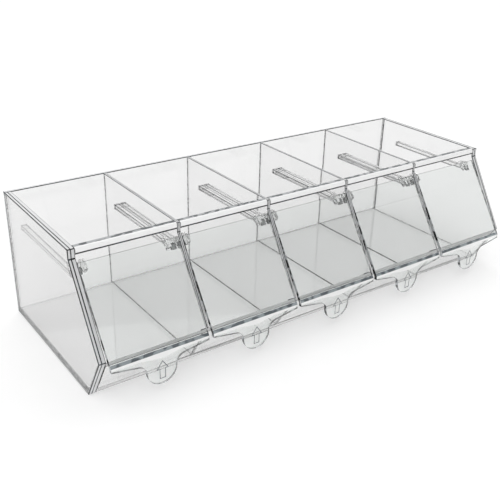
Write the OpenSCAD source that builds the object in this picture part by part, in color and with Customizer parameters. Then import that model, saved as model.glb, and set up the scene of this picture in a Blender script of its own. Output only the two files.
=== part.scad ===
// Five-compartment clear acrylic candy bin with flip-up front lids.
// Millimetres, +Z up, lids face -Y, origin at the bottom centre of the closed bin.

/* [Bin] */
// clear width of one compartment between its two walls
compartment_w = 84.6; // [60:0.2:140]
// height of the bin
height = 116; // [90:1:180]
// depth of the bin at the top, back face to front edge
top_depth = 135; // [100:1:220]
// how far the chin stands in front of the top front edge
chin_run = 41.2; // [25:0.2:55]
// height of the chin above the counter
chin_z = 41; // [38:0.5:60]
// how far the foot stands in front of the top front edge
foot_run = 17; // [5:0.5:24]
// height of the short upright edge at the top front of each wall
nose_h = 8; // [6:0.5:12]

/* [Sheet] */
// thickness of the two end panels
end_t = 6; // [3:0.5:8]
// thickness of the four dividers
divider_t = 3; // [2:0.5:6]
// thickness of the back panel
back_t = 4; // [3:0.5:8]
// thickness of the base panel
base_t = 5; // [3:0.5:8]
// thickness of the sloping kick panel under the lids
kick_t = 4; // [3:0.5:6]

/* [Header bars] */
// side of the square bar across the top front of each compartment
header_s = 6; // [5:0.5:7]
// rounding of the front edges of the header bar
header_r = 2; // [1:0.25:2.25]

/* [Runners] */
// width of a runner, measured out from its wall
runner_w = 5; // [4:0.25:7]
// height of a runner
runner_h = 4.5; // [3:0.25:6]
// depth of the runner top below the top of the bin
runner_drop = 19; // [18.5:0.25:22]
// room left between the rear end of a runner and the back panel
runner_rear = 29; // [10:1:50]

/* [Lids] */
// thickness of the lid sheet
lid_t = 3; // [2:0.25:3.5]
// side gap between lid and wall
lid_gap = 0.5; // [0.3:0.1:1]
// inside radius of the bend at the foot of the lid
bend_r = 2; // [1:0.25:3]
// gap between the lid sheet and the kick panel it closes on
seat_gap = 0.3; // [0.2:0.05:0.6]
// gap between the lid flange and the chin
flange_gap = 3.05; // [0.8:0.05:4]
// lid angle from upright when closed
lid_angle = 34.5; // [30:0.5:38]

/* [Finger tab] */
// radius of the round end of the finger tab
tab_r = 12.75; // [9:0.25:13.5]
// radius of the hollow beside the finger tab
tab_fillet = 8; // [3:0.25:9]
// length of the straight side between the hollow and the round end
tab_side = 0.1; // [0:0.1:1.5]
// depth of the flange beside the tab, measured down from the bend
shoulder_h = 5.4; // [4:0.2:6.4]
// depth of the flange at the lid corners
flange_h = 1.9; // [1:0.1:3.6]

/* [Pivots] */
// diameter of the pivot pins
pin_d = 4; // [3:0.25:4.5]
// distance of the pin axis behind the lid sheet
pin_back = 6.8; // [4:0.2:7]
// gap between the pin and the runner under it
pin_gap = 0.1; // [0.05:0.05:0.3]
// thickness of the lug that holds a pin
lug_t = 3; // [2:0.25:5]
// gap between the runner and the lug beside it
lug_gap = 0.7; // [0.4:0.1:1.5]

/* [Hidden] */
$fn = 64;
pitch = compartment_w + divider_t;
inner_w = 5 * compartment_w + 4 * divider_t;
total_w = inner_w + 2 * end_t;
total_d = top_depth + chin_run + flange_gap + lid_t;
// depth stations, measured in the frame
y_back = total_d / 2;
y_inner = y_back - back_t;
y_top = y_back - top_depth;
y_chin = y_top - chin_run;
y_foot = y_top - foot_run;
// kick panel lines: outer face y = y_chin - kick_k * (z - chin_z)
kick_k = (chin_run - foot_run) / chin_z;
kick_h = kick_t * sqrt(1 + kick_k * kick_k);
// the top of the kick panel runs from the chin square to the lids
kick_cut = kick_h / (cos(lid_angle) - kick_k * sin(lid_angle));
y_cut = y_chin + kick_cut * cos(lid_angle);
z_cut = chin_z - kick_cut * sin(lid_angle);
// lid sheet: inner face y = y_lid + lid_k * (z - chin_z)
lid_k = tan(lid_angle);
y_lid = y_chin - seat_gap / cos(lid_angle);
// bend of the lid
y_flange = y_chin - flange_gap;
z_corner = chin_z - (y_lid - y_flange) / lid_k;
y_bend = y_flange + bend_r;
z_bend = z_corner - bend_r * tan(lid_angle / 2);
// flats that make up the bend, the hollows and the end of the tab
bend_steps = 8;
hollow_steps = 8;
tab_steps = 24;
// pivot
runner_z = height - runner_drop;
pin_r = pin_d / 2;
z_pin = runner_z + pin_gap + pin_r;
y_pin = y_lid + lid_k * (z_pin - chin_z) + pin_back / cos(lid_angle);
// the sheet ends level with the pin axis
lid_len = (y_pin - y_bend) * sin(lid_angle) + (z_pin - z_bend) * cos(lid_angle);
lid_w = compartment_w - 2 * lid_gap;
// left inner face of compartment i
function comp_x(i) = -inner_w / 2 + (i - 1) * pitch;
acrylic = [0.82, 0.9, 0.93, 0.45];

// a sheet standing across X: 2D (y, z) profile pushed out along +X
module across(x0, w) {
    translate([x0, 0, 0]) rotate([90, 0, 90]) linear_extrude(w) children();
}

module end_profile() {
    polygon([[y_inner, 0], [y_inner, height], [y_top, height], [y_top, height - nose_h],
        [y_chin, chin_z], [y_foot, 0]]);
}

module divider_profile() {
    polygon([[y_inner, base_t], [y_inner, height], [y_top, height], [y_top, height - nose_h],
        [y_chin, chin_z], [y_cut, z_cut], [y_foot + kick_h - kick_k * base_t, base_t]]);
}

module base_panel() color(acrylic) {
    across(-inner_w / 2, inner_w)
        polygon([[y_inner, 0], [y_inner, base_t],
            [y_foot + kick_h - kick_k * base_t, base_t], [y_foot + kick_h, 0]]);
}

module back_panel() color(acrylic) {
    translate([-total_w / 2, y_inner, 0]) cube([total_w, back_t, height]);
}

module left_end_panel() color(acrylic) across(-total_w / 2, end_t) end_profile();
module right_end_panel() color(acrylic) across(total_w / 2 - end_t, end_t) end_profile();

module divider(i) color(acrylic) across(comp_x(i) + compartment_w, divider_t) divider_profile();
module divider_1() divider(1);
module divider_2() divider(2);
module divider_3() divider(3);
module divider_4() divider(4);

// slopes back from the chin to the counter; the lids close on its top front corner
module front_kick_panel() color(acrylic) {
    across(-inner_w / 2, inner_w)
        polygon([[y_foot, 0], [y_chin, chin_z], [y_cut, z_cut], [y_foot + kick_h, 0]]);
}

// dividers stop at the kick panel, so only this bar ties their top front corners
module header_bar(i) color(acrylic) {
    across(comp_x(i), compartment_w) translate([y_top, height - header_s]) {
        translate([header_r, 0]) square([header_s - header_r, header_s]);
        translate([0, header_r]) square([header_s, header_s - 2 * header_r]);
        translate([header_r, header_r]) circle(header_r);
        translate([header_r, header_s - header_r]) circle(header_r);
    }
}
module header_bar_1() header_bar(1);
module header_bar_2() header_bar(2);
module header_bar_3() header_bar(3);
module header_bar_4() header_bar(4);
module header_bar_5() header_bar(5);

// ledge glued to a wall; its front end is cut parallel to the lid
module runner(i, side) color(acrylic) {
    across(side < 0 ? comp_x(i) : comp_x(i) + compartment_w - runner_w, runner_w)
        polygon([[y_pin - pin_r, runner_z], [y_inner - runner_rear, runner_z],
            [y_inner - runner_rear, runner_z - runner_h],
            [y_pin - pin_r - lid_k * runner_h, runner_z - runner_h]]);
}
module runner_1_left() runner(1, -1);
module runner_1_right() runner(1, 1);
module runner_2_left() runner(2, -1);
module runner_2_right() runner(2, 1);
module runner_3_left() runner(3, -1);
module runner_3_right() runner(3, 1);
module runner_4_left() runner(4, -1);
module runner_4_right() runner(4, 1);
module runner_5_left() runner(5, -1);
module runner_5_right() runner(5, 1);

// points along an arc about c
function arc(c, r, from, to, steps) =
    [for (k = [0:steps]) c + r * [cos(from + (to - from) * k / steps), sin(from + (to - from) * k / steps)]];

// front view of the flange with its finger tab; x across, y up, 0 at the bend
module flange_outline() {
    // the hollow touches both the side of the tab and the sloping edge
    xf = tab_r + tab_fillet;
    slope = atan((shoulder_h - flange_h) / (lid_w / 2 - xf));
    zf = -shoulder_h - tab_fillet / cos(slope);
    zt = zf - tab_side;
    xs = lid_w / 2 + 1;
    zs = -flange_h + tan(slope);
    polygon(concat([[xs, height], [xs, zs]],
        arc([xf, zf], tab_fillet, 90 + slope, 180, hollow_steps),
        arc([0, zt], tab_r, 0, -180, tab_steps),
        arc([-xf, zf], tab_fillet, 0, 90 - slope, hollow_steps),
        [[-xs, zs], [-xs, height]]));
}

// side section of the bent sheet, with a flange longer than any tab
module lid_section() {
    centre = [y_bend, z_bend];
    up = [sin(lid_angle), cos(lid_angle)];
    out = [-cos(lid_angle), sin(lid_angle)];
    flange = [0, -2 * height];
    polygon(concat(
        [centre + (bend_r + lid_t) * out + lid_len * up],
        arc(centre, bend_r + lid_t, 180 - lid_angle, 180, bend_steps),
        [centre + [-bend_r - lid_t, 0] + flange, centre + [-bend_r, 0] + flange],
        arc(centre, bend_r, 180, 180 - lid_angle, bend_steps),
        [centre + bend_r * out + lid_len * up]));
}

// one bent sheet, cut from the front along the outline of the flange
module lid(i) color(acrylic) intersection() {
    across(comp_x(i) + lid_gap, lid_w) lid_section();
    translate([comp_x(i) + compartment_w / 2, y_back, z_bend]) rotate([90, 0, 0])
        linear_extrude(total_d + 1) flange_outline();
}
module lid_1() lid(1);
module lid_2() lid(2);
module lid_3() lid(3);
module lid_4() lid(4);
module lid_5() lid(5);

// a lug stands behind the lid just inside the runner; its pin lies on the runner
module pivot_lug(i, side) {
    x_wall = side < 0 ? comp_x(i) : comp_x(i) + compartment_w;
    x_lug = lug_gap + runner_w;
    x0 = side < 0 ? x_wall + x_lug : x_wall - x_lug - lug_t;
    xp = side < 0 ? x_wall + lid_gap : x_wall - x_lug - lug_t;
    across(x0, lug_t) translate([y_pin, z_pin]) {
        circle(pin_r + 1.5);
        rotate(lid_angle) translate([-pin_back, -pin_r - 1.5]) square([pin_back, 2 * pin_r + 1.5]);
    }
    across(xp, x_lug + lug_t - lid_gap) translate([y_pin, z_pin]) circle(pin_r);
}
module lid_pivot_lugs(i) color([0.7, 0.8, 0.84, 0.6]) {
    pivot_lug(i, -1);
    pivot_lug(i, 1);
}
module lid_1_pivot_lugs() lid_pivot_lugs(1);
module lid_2_pivot_lugs() lid_pivot_lugs(2);
module lid_3_pivot_lugs() lid_pivot_lugs(3);
module lid_4_pivot_lugs() lid_pivot_lugs(4);
module lid_5_pivot_lugs() lid_pivot_lugs(5);

base_panel();
back_panel();
left_end_panel();
right_end_panel();
divider_1();
divider_2();
divider_3();
divider_4();
front_kick_panel();
header_bar_1();
header_bar_2();
header_bar_3();
header_bar_4();
header_bar_5();
runner_1_left();
runner_1_right();
runner_2_left();
runner_2_right();
runner_3_left();
runner_3_right();
runner_4_left();
runner_4_right();
runner_5_left();
runner_5_right();
lid_1();
lid_2();
lid_3();
lid_4();
lid_5();
lid_1_pivot_lugs();
lid_2_pivot_lugs();
lid_3_pivot_lugs();
lid_4_pivot_lugs();
lid_5_pivot_lugs();
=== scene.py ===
import bpy
import numpy as np
from mathutils import Matrix


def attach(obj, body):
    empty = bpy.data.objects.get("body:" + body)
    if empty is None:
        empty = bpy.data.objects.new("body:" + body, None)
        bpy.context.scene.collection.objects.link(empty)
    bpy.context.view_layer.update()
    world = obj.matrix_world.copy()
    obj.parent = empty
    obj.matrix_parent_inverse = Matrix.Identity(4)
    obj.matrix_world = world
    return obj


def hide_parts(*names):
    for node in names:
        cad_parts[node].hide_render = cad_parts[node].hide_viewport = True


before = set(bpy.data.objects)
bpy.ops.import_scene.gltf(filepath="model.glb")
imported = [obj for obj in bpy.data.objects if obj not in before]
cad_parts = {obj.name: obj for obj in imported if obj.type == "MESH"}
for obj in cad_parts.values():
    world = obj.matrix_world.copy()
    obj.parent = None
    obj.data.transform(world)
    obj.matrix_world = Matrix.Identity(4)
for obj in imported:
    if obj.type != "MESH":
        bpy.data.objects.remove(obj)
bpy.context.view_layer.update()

# End panels
# Cast acrylic sheet of 6 mm, laser cut, with flame-polished edges. They stand outside the base
# and the kick panel, and the back panel is cemented across their rear edges.
MM = 0.001                     # the sizes in this file are millimetres
COMPARTMENTS, COMPARTMENT_W = 5, 84.6
END_T, DIVIDER_T, BACK_T = 6.0, 3.0, 4.0
HEIGHT, TOP_DEPTH = 116.0, 135.0
NOSE_H = 8.0                   # the short upright edge above the slope
CHIN_RUN, CHIN_Z = 41.2, 41.0  # the chin's reach in front of the top front edge, and its height
FOOT_RUN = 17.0                # the foot's reach in front of the same edge
FLANGE_GAP, LID_T = 3.05, 3.0  # the lids stand this far in front of the chin and are this thick
CEMENT = 0.04                  # the line of cement between two glued faces
ARRIS = 0.65                   # the flame rounds each edge by about two thirds of a millimetre
PAINTED_LINE_FROM, PAINTED_LINE_TO = 2.2, 3.1  # painted reflection: the dark line inside a 6 mm edge, from the outer face

PITCH = COMPARTMENT_W + DIVIDER_T
HALF_W = (COMPARTMENTS * PITCH - DIVIDER_T) / 2 + END_T
BACK_Y = (TOP_DEPTH + CHIN_RUN + FLANGE_GAP + LID_T) / 2
INNER_Y = BACK_Y - BACK_T
TOP_Y = BACK_Y - TOP_DEPTH
CHIN_Y = TOP_Y - CHIN_RUN
FOOT_Y = TOP_Y - FOOT_RUN
# the inner face of the wall on the left of each compartment
LEFT_WALL = END_T - HALF_W + PITCH * np.arange(COMPARTMENTS)


def hex_colour(code):
    """The sRGB colour code as linear red, green, blue and an alpha of 1."""
    s = np.array([int(code[k:k + 2], 16) for k in (1, 3, 5)]) / 255
    return (*np.where(s <= 0.04045, s / 12.92, ((s + 0.055) / 1.055) ** 2.4), 1.0)


def add_node(tree, kind, settings, links):
    """Adds a node. A setting fills the socket of that name or number, or else the property of that
    name, and a link brings the output of another node to a socket."""
    node = tree.nodes.new("ShaderNode" + kind)
    for key, value in settings.items():
        if isinstance(key, int) or key in node.inputs:
            node.inputs[key].default_value = value
        else:
            setattr(node, key, value)
    for key, output in links.items():
        tree.links.new(output, node.inputs[key])
    return node


def clear_acrylic(name, tint, wave_mm, depth_mm, haze, rub=0.0, clear=1.0):
    """Acrylic, IOR 1.49. Waves and a fine rub from wiping bend what is seen through it, and a film of
    dust dulls the gloss in patches, up to haze. Below 1, clear leaves a milky share."""
    material = bpy.data.materials.new(name)
    material.use_nodes = True
    tree = material.node_tree
    shader = tree.nodes["Principled BSDF"]
    shader.inputs["Base Color"].default_value = hex_colour(tint)
    shader.inputs["IOR"].default_value = 1.49
    shader.inputs["Transmission Weight"].default_value = clear
    place = add_node(tree, "TexCoord", {}, {}).outputs["Object"]
    wave = add_node(tree, "TexNoise", {"Scale": 1 / (wave_mm * MM), "Detail": 2.0}, {"Vector": place})
    # rub marks of 1.4 mm, drawn out along the height by the cloth
    drawn_out = add_node(tree, "Mapping", {"Scale": (1.0, 1.0, 0.12)}, {"Vector": place})
    marks = add_node(tree, "TexNoise", {"Scale": 1 / (1.4 * MM), "Detail": 6.0, "Roughness": 0.7},
                     {"Vector": drawn_out.outputs[0]})
    dust = add_node(tree, "TexNoise", {"Scale": 1 / (22 * MM), "Detail": 8.0, "Roughness": 0.65},
                    {"Vector": place})
    rough = add_node(tree, "MapRange", {"From Min": 0.42, "From Max": 0.78, "To Min": 0.004, "To Max": haze},
                     {"Value": dust.outputs[0]})
    height = add_node(tree, "Math", {"operation": "MULTIPLY_ADD", 1: rub},
                      {0: marks.outputs[0], 2: wave.outputs[0]})
    bump = add_node(tree, "Bump", {"Strength": 1.0, "Distance": depth_mm * MM},
                    {"Height": height.outputs[0]})
    tree.links.new(rough.outputs[0], shader.inputs["Roughness"])
    tree.links.new(bump.outputs[0], shader.inputs["Normal"])
    return material


def broken_line(name, dark, pale, patch_mm, share, clear=0.3):
    """Acrylic that changes from dark to pale along its length. A noise with patches of about patch_mm
    chooses between the two colours, and a larger share gives more of the dark one."""
    material = clear_acrylic(name, pale, wave_mm=6, depth_mm=0.05, haze=0.2, rub=0.2, clear=clear)
    tree = material.node_tree
    place = add_node(tree, "TexCoord", {}, {}).outputs["Object"]
    patch = add_node(tree, "TexNoise", {"Scale": 1 / (patch_mm * MM), "Detail": 1.0}, {"Vector": place})
    colour = add_node(tree, "ValToRGB", {}, {"Fac": patch.outputs[0]})
    turn = 0.03     # half of the noise's range over which dark turns to pale
    for element, at, code in zip(colour.color_ramp.elements, (share - turn, share + turn), (dark, pale)):
        element.position = at
        element.color = hex_colour(code)
    tree.links.new(colour.outputs[0], tree.nodes["Principled BSDF"].inputs["Base Color"])
    return material


def place_piece(name, verts, faces, finish, materials, arris, body, nodes, slot):
    """Puts a closed mesh, given in millimetres, in the place of its CAD nodes. finish is the number of
    each face's material. The edges are rounded by arris, in the third material where there is one."""
    mesh = bpy.data.meshes.new(name)
    mesh.from_pydata((np.asarray(verts, float) * MM).tolist(), [], [list(f) for f in faces])
    for material in materials:
        mesh.materials.append(material)
    mesh.polygons.foreach_set("material_index", np.asarray(finish, int))
    piece = bpy.data.objects.new(name, mesh)
    bpy.context.scene.collection.objects.link(piece)
    if arris:
        rounding = piece.modifiers.new("arris", "BEVEL")
        rounding.width = arris * MM
        rounding.segments = 2
        rounding.limit_method = "ANGLE"
        rounding.angle_limit = np.radians(24)
        rounding.material = min(2, len(materials) - 1)
    for node in nodes:
        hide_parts(node)
    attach(piece, body)


def sheet_between(outline, *stations):
    """A flat sheet: the (y, z) outline, counter-clockwise seen from +X, carried along X through the
    stations. Its faces are the strips round the outline between stations, then the two ends."""
    ring = np.asarray(outline, float)
    n = len(ring)
    verts = np.column_stack([np.repeat(stations, n), np.tile(ring, (len(stations), 1))])
    k = np.arange(n)
    last = n * (len(stations) - 1)
    strip = np.column_stack([k, (k + 1) % n, (k + 1) % n + n, k + n])
    strips = (strip + np.arange(0, last, n)[:, None, None]).reshape(-1, 4)
    return verts, [*strips.tolist(), k[::-1].tolist(), (k + last).tolist()]


def edge_finish(sides, bands, glued):
    """The finish of a sheet whose edge shows bands from one face to the other: the glued sides of its
    outline are cemented instead, and its two faces are clear."""
    around = np.repeat(np.array(bands)[:, None], sides, 1)
    around[:, glued] = 3
    return np.append(around.ravel(), [0, 0])


# clear cast sheet, a little grey against the light, with a faint broad wave in its reflections
sheet = clear_acrylic("cast_acrylic_sheet", "#EAEAEA", wave_mm=60, depth_mm=0.02, haze=0.05)
# the flame leaves a faint ripple; the edge is drawn milky white, a painted highlight for the light a clear
# edge gathers, so it shows pale between two painted dark lines
edge = clear_acrylic("flame_polished_edge_painted_highlight", "#FDFEFF", wave_mm=9, depth_mm=0.06,
                     haze=0.3, rub=0.2, clear=0.3)
# painted reflection: a rounded edge is drawn as a thin near-black line that greys in places, for the dark of
# the room it reflects
painted_dark_arris = broken_line("flame_rounded_arris_painted_reflection", "#080B0D", "#3A4146", patch_mm=11, share=0.52, clear=0.1)
# solvent cement runs unevenly, so a joint seen through the sheet is streaked black and white
cement = broken_line("solvent_cement_joint", "#0E1214", "#FFFFFF", patch_mm=2.8, share=0.46, clear=0.3)
THICK_SHEET = [sheet, edge, painted_dark_arris, cement]

end_outline = [(INNER_Y - CEMENT, 0), (INNER_Y - CEMENT, HEIGHT), (TOP_Y, HEIGHT),
               (TOP_Y, HEIGHT - NOSE_H), (CHIN_Y, CHIN_Z), (FOOT_Y, 0)]
for side, name in ((-1, "left_end_panel"), (1, "right_end_panel")):
    # painted reflection: the far face of the sheet, seen inside the edge, is drawn as a dark strip between
    # two pale bands
    stations = np.sort(side * (HALF_W - np.array([0, PAINTED_LINE_FROM, PAINTED_LINE_TO, END_T])))
    place_piece(name + "_polished", *sheet_between(end_outline, *stations),
                edge_finish(len(end_outline), (1, 2, 1), [0]), THICK_SHEET, ARRIS,
                "bin", [name], "bin_acrylic")

# Dividers
# Cast acrylic sheet of 3 mm, cut to the shape of the end panels above the base. They stand on the
# base and are cemented to it, to the back panel and to the kick panel.
BASE_T, KICK_T, LID_ANGLE = 5.0, 4.0, 34.5
DIVIDER_ARRIS = 0.45
# painted reflection: the dark line inside a 3 mm edge, from its left face
THIN_PAINTED_LINE_FROM, THIN_PAINTED_LINE_TO = 1.2, 1.8
LEAN = np.radians(LID_ANGLE)       # the lids lean back by this much from upright
KICK_LEAN = (FOOT_Y - CHIN_Y) / CHIN_Z
KICK_H = KICK_T * np.hypot(1, KICK_LEAN)
# the kick panel's top is cut square to the lids, down to its inner face
KICK_CUT = KICK_H / (np.cos(LEAN) - KICK_LEAN * np.sin(LEAN))
CUT_Y, CUT_Z = CHIN_Y + KICK_CUT * np.cos(LEAN), CHIN_Z - KICK_CUT * np.sin(LEAN)
# the kick panel's inner face at the height of the base's top
KICK_INNER_Y = FOOT_Y + KICK_H - KICK_LEAN * BASE_T

# the same sheet, but thinner and so a shade clearer
thin_sheet = clear_acrylic("thin_cast_acrylic_sheet", "#F8F8F8", wave_mm=60, depth_mm=0.02, haze=0.05)
divider_outline = [(INNER_Y - CEMENT, BASE_T + CEMENT), (INNER_Y - CEMENT, HEIGHT), (TOP_Y, HEIGHT),
                   (TOP_Y, HEIGHT - NOSE_H), (CHIN_Y + CEMENT, CHIN_Z + CEMENT),
                   (CUT_Y + 2 * CEMENT, CUT_Z + CEMENT), (KICK_INNER_Y + 2 * CEMENT, BASE_T + CEMENT)]
for n, right_of in enumerate(LEFT_WALL[1:], 1):
    stations = right_of - DIVIDER_T + np.array([0, THIN_PAINTED_LINE_FROM, THIN_PAINTED_LINE_TO, DIVIDER_T])
    place_piece(f"divider_{n}_polished", *sheet_between(divider_outline, *stations),
                edge_finish(len(divider_outline), (1, 2, 1), [0, 4, 5, 6]),
                [thin_sheet, edge, painted_dark_arris, cement], DIVIDER_ARRIS,
                "bin", [f"divider_{n}"], "bin_acrylic")

# Back panel
# Cast acrylic sheet of 4 mm across the whole width, cemented to the rear edges of the end panels,
# the dividers and the base. Its own four edges are flame polished.
back_outline = [(INNER_Y, 0), (BACK_Y, 0), (BACK_Y, HEIGHT), (INNER_Y, HEIGHT)]
place_piece("back_panel_polished", *sheet_between(back_outline, -HALF_W, HALF_W), [1, 0, 1, 0, 1, 1],
            THICK_SHEET, ARRIS, "bin", ["back_panel"], "bin_acrylic")

# Base and kick panel
# Cast acrylic sheet of 5 mm and 4 mm between the end panels. The kick panel slopes back from the
# chin to the foot. Both meet the end panels with cement and each other without a visible gap.
inside = HALF_W - END_T - CEMENT
low_sheet = [thin_sheet, edge, thin_sheet, cement]      # no flame reaches their long edges, which stay clear
base_outline = [(FOOT_Y + KICK_H + CEMENT, 0), (INNER_Y - CEMENT, 0), (INNER_Y - CEMENT, BASE_T),
                (KICK_INNER_Y + CEMENT, BASE_T)]
kick_outline = [(FOOT_Y, 0), (FOOT_Y + KICK_H, 0), (CUT_Y, CUT_Z), (CHIN_Y, CHIN_Z)]
place_piece("base_panel_polished", *sheet_between(base_outline, -inside, inside), [0, 0, 0, 0, 3, 3],
            low_sheet, ARRIS, "bin", ["base_panel"], "bin_acrylic")
place_piece("kick_panel_polished", *sheet_between(kick_outline, -inside, inside), [0, 0, 1, 0, 3, 3],
            low_sheet, ARRIS, "bin", ["front_kick_panel"], "bin_acrylic")

# Header bars
# A 6 mm square bar of acrylic across the top front of each compartment, cemented between the
# walls. Its front edges are rounded by 2 mm.
HEADER_S, HEADER_R, BAR_ARRIS = 6.0, 2.0, 0.15
BAR_STEPS = 12       # flats of each rounding
# painted shade: the top of the bar is drawn mottled grey, for the dark it reflects
bar_top_painted_shade = broken_line("extruded_acrylic_bar_top_painted_shade", "#5E6569", "#C8CBCD", patch_mm=6, share=0.5, clear=0.4)
# painted highlight: the flame-polished front is drawn as one near-opaque white band, for the light it catches
bar_front_painted_highlight = clear_acrylic("flame_polished_bar_face_painted_highlight", "#FFFFFF", wave_mm=20, depth_mm=0.03,
                          haze=0.2, rub=0.1, clear=0.08)


def arc(centre, r, start, end, steps):
    """Points on a circle of radius r about centre, from start to end degrees."""
    a = np.radians(np.linspace(start, end, steps + 1))
    return np.column_stack([centre[0] + r * np.cos(a), centre[1] + r * np.sin(a)])


bar_low = HEIGHT - HEADER_S
bar_outline = np.vstack([
    arc((TOP_Y + HEADER_R, bar_low + HEADER_R), HEADER_R, 180, 270, BAR_STEPS),
    [(TOP_Y + HEADER_S, bar_low), (TOP_Y + HEADER_S, HEIGHT)],
    arc((TOP_Y + HEADER_R, HEIGHT - HEADER_R), HEADER_R, 90, 180, BAR_STEPS)])
# round the outline: lower rounding and underside painted dark as a reflection, back clear, top in painted
# grey shade, upper rounding and front a painted white highlight, and the two ends cemented
bar_finish = np.repeat([2, 4, 0, 1, 3], [BAR_STEPS + 1, 1, 1, BAR_STEPS + 1, 2])
for n, wall in enumerate(LEFT_WALL, 1):
    place_piece(f"header_bar_{n}_polished",
                *sheet_between(bar_outline, wall + CEMENT, wall + COMPARTMENT_W - CEMENT),
                bar_finish, [bar_top_painted_shade, bar_front_painted_highlight, painted_dark_arris, cement, sheet], BAR_ARRIS,
                "bin", [f"header_bar_{n}"], "header_acrylic")

# Runners
# Strips of acrylic cemented to the walls, a ledge for the pivot pins of each lid. The front end
# is cut at the slope of the lid, and the rear end stops short of the back.
RUNNER_W, RUNNER_H, RUNNER_DROP, RUNNER_REAR, RUNNER_ARRIS = 5.0, 4.5, 19.0, 29.0, 0.4
SEAT_GAP, PIN_GAP, PIN_R, PIN_BACK = 0.3, 0.1, 2.0, 6.8
RUNNER_TOP = HEIGHT - RUNNER_DROP
# a pin lies just above its runner, PIN_BACK behind the inner face of the closed lid
PIN_Z = RUNNER_TOP + PIN_GAP + PIN_R
LID_INNER_Y = CHIN_Y - SEAT_GAP / np.cos(LEAN)      # that face at the height of the chin
PIN_Y = LID_INNER_Y + np.tan(LEAN) * (PIN_Z - CHIN_Z) + PIN_BACK / np.cos(LEAN)
# a sawn strip with clear sides; its cut ends take the milky edge finish, a painted highlight like the other
# edges
strip = clear_acrylic("saw_cut_acrylic_strip", "#FFFFFF", wave_mm=25, depth_mm=0.03,
                      haze=0.08, rub=0.05, clear=0.95)
rear, front = INNER_Y - RUNNER_REAR, PIN_Y - PIN_R
runner_outline = [(front - np.tan(LEAN) * RUNNER_H, RUNNER_TOP - RUNNER_H), (rear, RUNNER_TOP - RUNNER_H),
                  (rear, RUNNER_TOP), (front, RUNNER_TOP)]
for n, wall in enumerate(LEFT_WALL, 1):
    for side, at in (("left", wall + CEMENT), ("right", wall + COMPARTMENT_W - RUNNER_W)):
        place_piece(f"runner_{n}_{side}_polished",
                    *sheet_between(runner_outline, at, at + RUNNER_W - CEMENT),
                    [0, 1, 0, 1, 0, 0], [strip, edge, painted_dark_arris], RUNNER_ARRIS,
                    "bin", [f"runner_{n}_{side}"], "runner_acrylic")

# Lids
# One sheet of 3 mm acrylic each, cut to its outline with the finger tab, then heated along a
# line and bent down to an upright flange. Its two pivots lie on the runners.
LID_GAP, LID_ARRIS, BEND_R = 0.5, 0.8, 2.0
TAB_R, TAB_HOLLOW, TAB_SIDE, SHOULDER, CORNER = 12.75, 8.0, 0.1, 5.4, 1.9
NECK, NECK_STEP = 12.0, 0.2    # the columns of the mesh that end on the tab leave the bend within the neck
HOLLOW_STEPS, END_STEPS, BEND_STEPS = 20, 48, 24
HEATED_ABOVE = 1.3             # the heated line starts this far above the bend
FLANGE_ROWS = (0.12, 0.3, 0.5, 0.7, 0.85, 1)     # rows of the mesh from the bend to the outline
LID_W = COMPARTMENT_W - 2 * LID_GAP
FLANGE_Y = CHIN_Y - FLANGE_GAP                   # the inner face of the flange
BEND_Y = FLANGE_Y + BEND_R
BEND_Z = CHIN_Z - (LID_INNER_Y - FLANGE_Y) / np.tan(LEAN) - BEND_R * np.tan(LEAN / 2)
LID_LENGTH = (PIN_Y - BEND_Y) * np.sin(LEAN) + (PIN_Z - BEND_Z) * np.cos(LEAN)    # top edge to bend

# thin clear sheet, wiped often, with soft reflections
bent = clear_acrylic("bent_acrylic_sheet", "#FBFDFC", wave_mm=45, depth_mm=0.03, haze=0.035)
# painted glints: the cut outline is drawn dark in places and pale in others, for the dark and light it
# reflects
rim = broken_line("flame_polished_rim_painted_glints", "#12171A", "#DDE0E2", patch_mm=7, share=0.50)
# painted light: the heated line works as a lens, so its upper half is drawn dark grey as painted shade for
# the dark it gathers, and its lower half white as a painted highlight for the light
bend_painted_shade = broken_line("heat_bent_acrylic_painted_shade", "#545B60", "#8F979B", patch_mm=10, share=0.5)
bend_painted_highlight = clear_acrylic("heat_bent_acrylic_painted_highlight", "#FFFFFF", wave_mm=12, depth_mm=0.04,
                            haze=0.2, rub=0.1, clear=0.3)


def tab_outline():
    """The lower edge of the flange from the left corner to the right, as (x, height above the bend):
    sloping shoulder, hollow, short side, round end, and the same mirrored. Beside it, where each of
    its points starts on the bend."""
    slope = np.degrees(np.arctan((SHOULDER - CORNER) / (LID_W / 2 - TAB_R - TAB_HOLLOW)))
    hollow = (TAB_R + TAB_HOLLOW, -SHOULDER - TAB_HOLLOW / np.cos(np.radians(slope)))
    left = arc((-hollow[0], hollow[1]), TAB_HOLLOW, 90 - slope, 0, HOLLOW_STEPS)
    end = arc((0, hollow[1] - TAB_SIDE), TAB_R, 180, 360, END_STEPS)
    right = arc(hollow, TAB_HOLLOW, 180, 90 + slope, HOLLOW_STEPS)
    corner = np.array([[-LID_W / 2, -CORNER]])
    outline = np.vstack([corner, left, end, right, corner * (-1, 1)])
    knots = np.cumsum([0, 1, HOLLOW_STEPS, 1, END_STEPS, 1, HOLLOW_STEPS, 1])
    starts = np.array([LID_W / 2, -left[0, 0], NECK + NECK_STEP, NECK - NECK_STEP])
    return outline, np.interp(np.arange(len(outline)), knots, [*-starts, *starts[::-1]])


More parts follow.
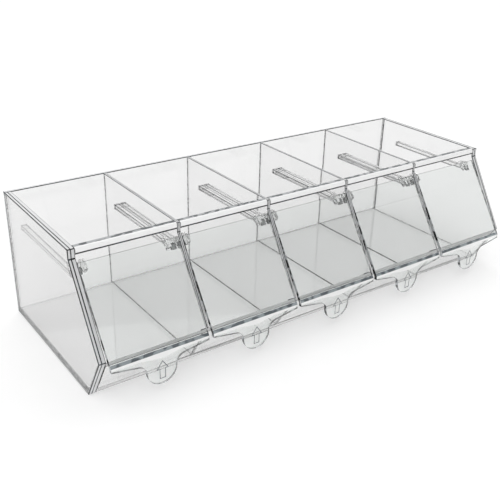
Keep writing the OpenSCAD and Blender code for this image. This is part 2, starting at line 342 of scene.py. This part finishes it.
def bent_sheet(centre_x):
    """The lid: its outer face is a grid whose columns run from the top edge down the slope, round the
    bend, and fan out to the points of the tab outline. The inner face is the same grid one thickness
    inwards, and a rim joins the two."""
    outline, across = tab_outline()
    turn = np.radians(np.linspace(180 - LID_ANGLE, 180, BEND_STEPS + 1))
    down = np.array(FLANGE_ROWS)[:, None]
    sheets = []
    for r in (BEND_R + LID_T, BEND_R):
        foot = (BEND_Y - r * np.cos(LEAN), BEND_Z + r * np.sin(LEAN))
        slope = np.array([[LID_LENGTH], [HEATED_ABOVE]]) * (np.sin(LEAN), np.cos(LEAN)) + foot
        bend = np.column_stack([BEND_Y + r * np.cos(turn), BEND_Z + r * np.sin(turn)])
        yz = np.vstack([slope, bend])
        upper = np.stack([np.tile(across, (len(yz), 1)), np.repeat(yz[:, :1], len(across), 1),
                          np.repeat(yz[:, 1:], len(across), 1)], 2)
        x = across + (outline[:, 0] - across) * down
        lower = np.stack([x, np.full_like(x, yz[-1, 0]), BEND_Z + outline[:, 1] * down], 2)
        sheets.append(np.concatenate([upper, lower]))
    rows, cols = sheets[0].shape[:2]
    verts = np.concatenate(sheets).reshape(-1, 3) + (centre_x, 0, 0)
    grid = np.arange(rows * cols).reshape(rows, cols)
    quad = np.stack([grid[:-1, :-1], grid[1:, :-1], grid[1:, 1:], grid[:-1, 1:]], 2).reshape(-1, 4)
    round_rim = np.concatenate([grid[0, :], grid[1:, -1], grid[-1, -2::-1], grid[-2:0:-1, 0]])
    after = np.roll(round_rim, -1)
    back = rows * cols
    wall = np.column_stack([round_rim, after, after + back, round_rim + back])
    # outside: clear slope, painted shade to the middle of the bend, painted highlight to the first row of the
    # flange
    row = np.arange(rows - 1)
    band = np.select([row == 0, row < BEND_STEPS // 2 + 1, row < BEND_STEPS + 3], [0, 3, 4], 0)
    finish = np.concatenate([np.repeat(band, cols - 1), np.zeros(len(quad), int), np.ones(len(wall), int)])
    return verts, np.vstack([quad, quad[:, ::-1] + back, wall]), finish


for n, wall in enumerate(LEFT_WALL, 1):
    place_piece(f"lid_{n}_polished", *bent_sheet(wall + COMPARTMENT_W / 2),
                [bent, rim, painted_dark_arris, bend_painted_shade, bend_painted_highlight], LID_ARRIS,
                f"lid_{n}_assembly", [f"lid_{n}"], "lid_acrylic")

# Engraved arrows
# A plain outlined arrow cut into the front of each tab with a laser, which leaves a frosted
# groove that reads as a thin grey line.
ARROW_LOW, ARROW_HIGH, HEAD_H = 15.6, 30.1, 6.2
HEAD_HALF, SHAFT_HALF, LINE = 4.3, 2.1, 0.55
PROUD, DEPTH = 0.03, 0.12      # the groove's filling stands out this far and goes this deep

frost = bpy.data.materials.new("laser_frosted_groove")
frost.use_nodes = True
frost_tree = frost.node_tree
frost_shader = frost_tree.nodes["Principled BSDF"]
frost_shader.inputs["Base Color"].default_value = hex_colour("#5A6166")
frost_shader.inputs["Roughness"].default_value = 0.7
# the laser's grit is finer than this, but drawn at 0.4 mm so that it shows
grit = add_node(frost_tree, "TexNoise", {"Scale": 1 / (0.4 * MM)},
                {"Vector": add_node(frost_tree, "TexCoord", {}, {}).outputs["Object"]})
frost_bump = add_node(frost_tree, "Bump", {"Strength": 0.6, "Distance": 0.05 * MM},
                      {"Height": grit.outputs[0]})
frost_tree.links.new(frost_bump.outputs[0], frost_shader.inputs["Normal"])


def arrow_groove(centre_x):
    """A closed line along the outline of an arrow that points up: the outline and the same moved
    inwards by LINE at each mitre, joined in front, behind and on both sides."""
    neck = ARROW_HIGH - HEAD_H
    path = np.array([(0, ARROW_HIGH), (-HEAD_HALF, neck), (-SHAFT_HALF, neck), (-SHAFT_HALF, ARROW_LOW),
                     (SHAFT_HALF, ARROW_LOW), (SHAFT_HALF, neck), (HEAD_HALF, neck)])
    ahead, behind = np.roll(path, -1, 0) - path, path - np.roll(path, 1, 0)
    unit = [v / np.linalg.norm(v, axis=1)[:, None] for v in (ahead, behind)]
    out = [np.column_stack([-v[:, 1], v[:, 0]]) for v in unit]
    mitre = out[0] + out[1]
    mitre *= LINE / (mitre * out[0]).sum(1)[:, None]
    corners = len(path)
    front = FLANGE_Y - LID_T
    verts = np.concatenate([np.column_stack([ring[:, 0] + centre_x, np.full(corners, y), ring[:, 1]])
                            for y in (front - PROUD, front + DEPTH) for ring in (path, path - mitre)])
    k = np.arange(corners)
    near = np.column_stack([k, (k + 1) % corners])
    # the rings, in the order of verts: outline and inner line in front, then the same behind
    rings = near + corners * np.arange(4)[:, None, None]
    loops = ((0, 1), (3, 2), (2, 0), (1, 3))
    return verts, np.vstack([np.column_stack([rings[a], rings[b][:, ::-1]]) for a, b in loops])


for n, wall in enumerate(LEFT_WALL, 1):
    verts, faces = arrow_groove(wall + COMPARTMENT_W / 2)
    place_piece(f"arrow_{n}", verts, faces, np.zeros(len(faces)), [frost], 0,
                f"lid_{n}_assembly", [], "lid_acrylic")

# Pivot lugs
# Small moulded acrylic ears cemented behind the top corners of a lid. Each carries a 4 mm pin
# that lies on the runner and ends short of the wall.
LUG_T, LUG_R, LUG_GAP, LUG_ARRIS = 3.0, 3.5, 0.7, 0.25
LUG_CUT, LID_CLEAR = 1.5, 0.05     # the cut of the upper corner, and the line of cement at the lid
PIN_STEPS = 36
# clear with a slightly milky body, as small mouldings are
ear = clear_acrylic("moulded_acrylic_ear", "#FFFFFF", wave_mm=8, depth_mm=0.02,
                    haze=0.05, rub=0.05, clear=0.9)
turned = np.array([[np.cos(LEAN), np.sin(LEAN)], [-np.sin(LEAN), np.cos(LEAN)]])
foot_of_ear = LID_CLEAR - PIN_BACK
ear_outline = np.vstack([arc((0, 0), LUG_R, -90, 90, 20),
                         [(foot_of_ear, LUG_R - LUG_CUT), (foot_of_ear, -LUG_R)]]) @ turned + (PIN_Y, PIN_Z)
pin_outline = arc((PIN_Y, PIN_Z), PIN_R, 0, 360, PIN_STEPS)[:-1]
for n, wall in enumerate(LEFT_WALL, 1):
    verts, faces = np.empty((0, 3)), []
    for start, inwards in ((wall, 1), (wall + COMPARTMENT_W, -1)):
        lug_from = RUNNER_W + LUG_GAP
        for outline, span in ((ear_outline, (lug_from, lug_from + LUG_T)),
                              (pin_outline, (LID_GAP, lug_from - CEMENT))):
            more_verts, more_faces = sheet_between(outline, *sorted(start + inwards * np.array(span)))
            faces += [[corner + len(verts) for corner in face] for face in more_faces]
            verts = np.concatenate([verts, more_verts])
    place_piece(f"lid_{n}_pivot_ears", verts, faces, np.zeros(len(faces)), [ear], LUG_ARRIS,
                f"lid_{n}_assembly", [f"lid_{n}_pivot_lugs"], "lug_acrylic")

# Floor and light
# A light table: pale paper that glows evenly from below, as clear things are photographed. The
# room is white but for its unlit side, which draws the edges of the sheets as grey lines.
FLOOR_HALF, FLOOR_Z = 6.0, -0.0002     # metres
floor_mesh = bpy.data.meshes.new("floor")
floor_mesh.from_pydata([(x * FLOOR_HALF, y * FLOOR_HALF, 0) for x, y in ((-1, -1), (1, -1), (1, 1), (-1, 1))],
                       [], [(0, 1, 2, 3)])
floor = bpy.data.objects.new("floor", floor_mesh)
floor.location.z = FLOOR_Z
bpy.context.scene.collection.objects.link(floor)
paper = bpy.data.materials.new("pale_paper_sweep")
paper.use_nodes = True
paper_shader = paper.node_tree.nodes["Principled BSDF"]
for socket, value in {"Base Color": hex_colour("#BEBEBE"), "Emission Color": hex_colour("#FFFFFF"),
                      "Emission Strength": 0.54, "Roughness": 0.9, "Specular IOR Level": 0.1}.items():
    paper_shader.inputs[socket].default_value = value
floor_mesh.materials.append(paper)

world = bpy.data.worlds.new("studio")
bpy.context.scene.world = world
world.use_nodes = True
room = world.node_tree
UNLIT = (0.25, -0.83, 0.50)      # toward the unlit side, in front of the bin and above it
sky = add_node(room, "TexCoord", {}, {}).outputs["Generated"]
toward = add_node(room, "VectorMath", {"operation": "DOT_PRODUCT", 1: UNLIT}, {0: sky})
nearness = add_node(room, "MapRange", {"From Min": -1.0, "From Max": 1.0}, {"Value": toward.outputs["Value"]})
shade = add_node(room, "ValToRGB", {}, {"Fac": nearness.outputs[0]})
greys = shade.color_ramp.elements
greys[0].color = (1.0, 1.0, 1.0, 1.0)
greys[1].color = (0.2, 0.2, 0.2, 1.0)
for at, grey in ((0.82, 1.0), (0.90, 0.5), (0.96, 0.25)):
    greys.new(at).color = (grey, grey, grey, 1.0)
background = room.nodes["Background"]
background.inputs["Strength"].default_value = 1.06
room.links.new(shade.outputs[0], background.inputs["Color"])

for name, at, size, watts in (("back_softbox", (0.5, 1.2, 1.6), 1.4, 5.0),
                              ("top_softbox", (-0.5, -1.0, 1.5), 0.5, 4.0)):
    light = bpy.data.lights.new(name, "AREA")
    light.size = size
    light.energy = watts
    lamp = bpy.data.objects.new(name, light)
    lamp.location = at
    lamp.rotation_mode = "QUATERNION"
    lamp.rotation_quaternion = (-lamp.location).to_track_quat("-Z", "Y")
    bpy.context.scene.collection.objects.link(lamp)

# Camera
# Fitted to the corners of the bin in the photograph. Light crosses up to a dozen sheets, so it
# needs more bounces than with opaque things.
CAMERA_AT, CAMERA_LENS, SENSOR_W = (-0.398234, -0.503691, 0.349774), 53.56, 36
AZIMUTH, ELEVATION, ROLL = np.radians((-36.154, 25.842, 1.553))
BOUNCES = 32
behind = np.array([np.sin(AZIMUTH) * np.cos(ELEVATION), -np.cos(AZIMUTH) * np.cos(ELEVATION),
                   np.sin(ELEVATION)])
level = np.cross(-behind, (0, 0, 1))
level /= np.linalg.norm(level)
upright = np.cross(behind, level)
right = np.cos(ROLL) * level + np.sin(ROLL) * upright
above = np.cos(ROLL) * upright - np.sin(ROLL) * level
camera = bpy.data.objects.new("camera", bpy.data.cameras.new("camera"))
camera.data.lens = CAMERA_LENS
camera.data.sensor_width = SENSOR_W
camera.matrix_world = Matrix([*np.column_stack([right, above, behind, CAMERA_AT]), (0, 0, 0, 1)])
scene = bpy.context.scene
scene.collection.objects.link(camera)
scene.camera = camera
scene.view_settings.view_transform = "Standard"
scene.cycles.max_bounces = BOUNCES
scene.cycles.transmission_bounces = BOUNCES
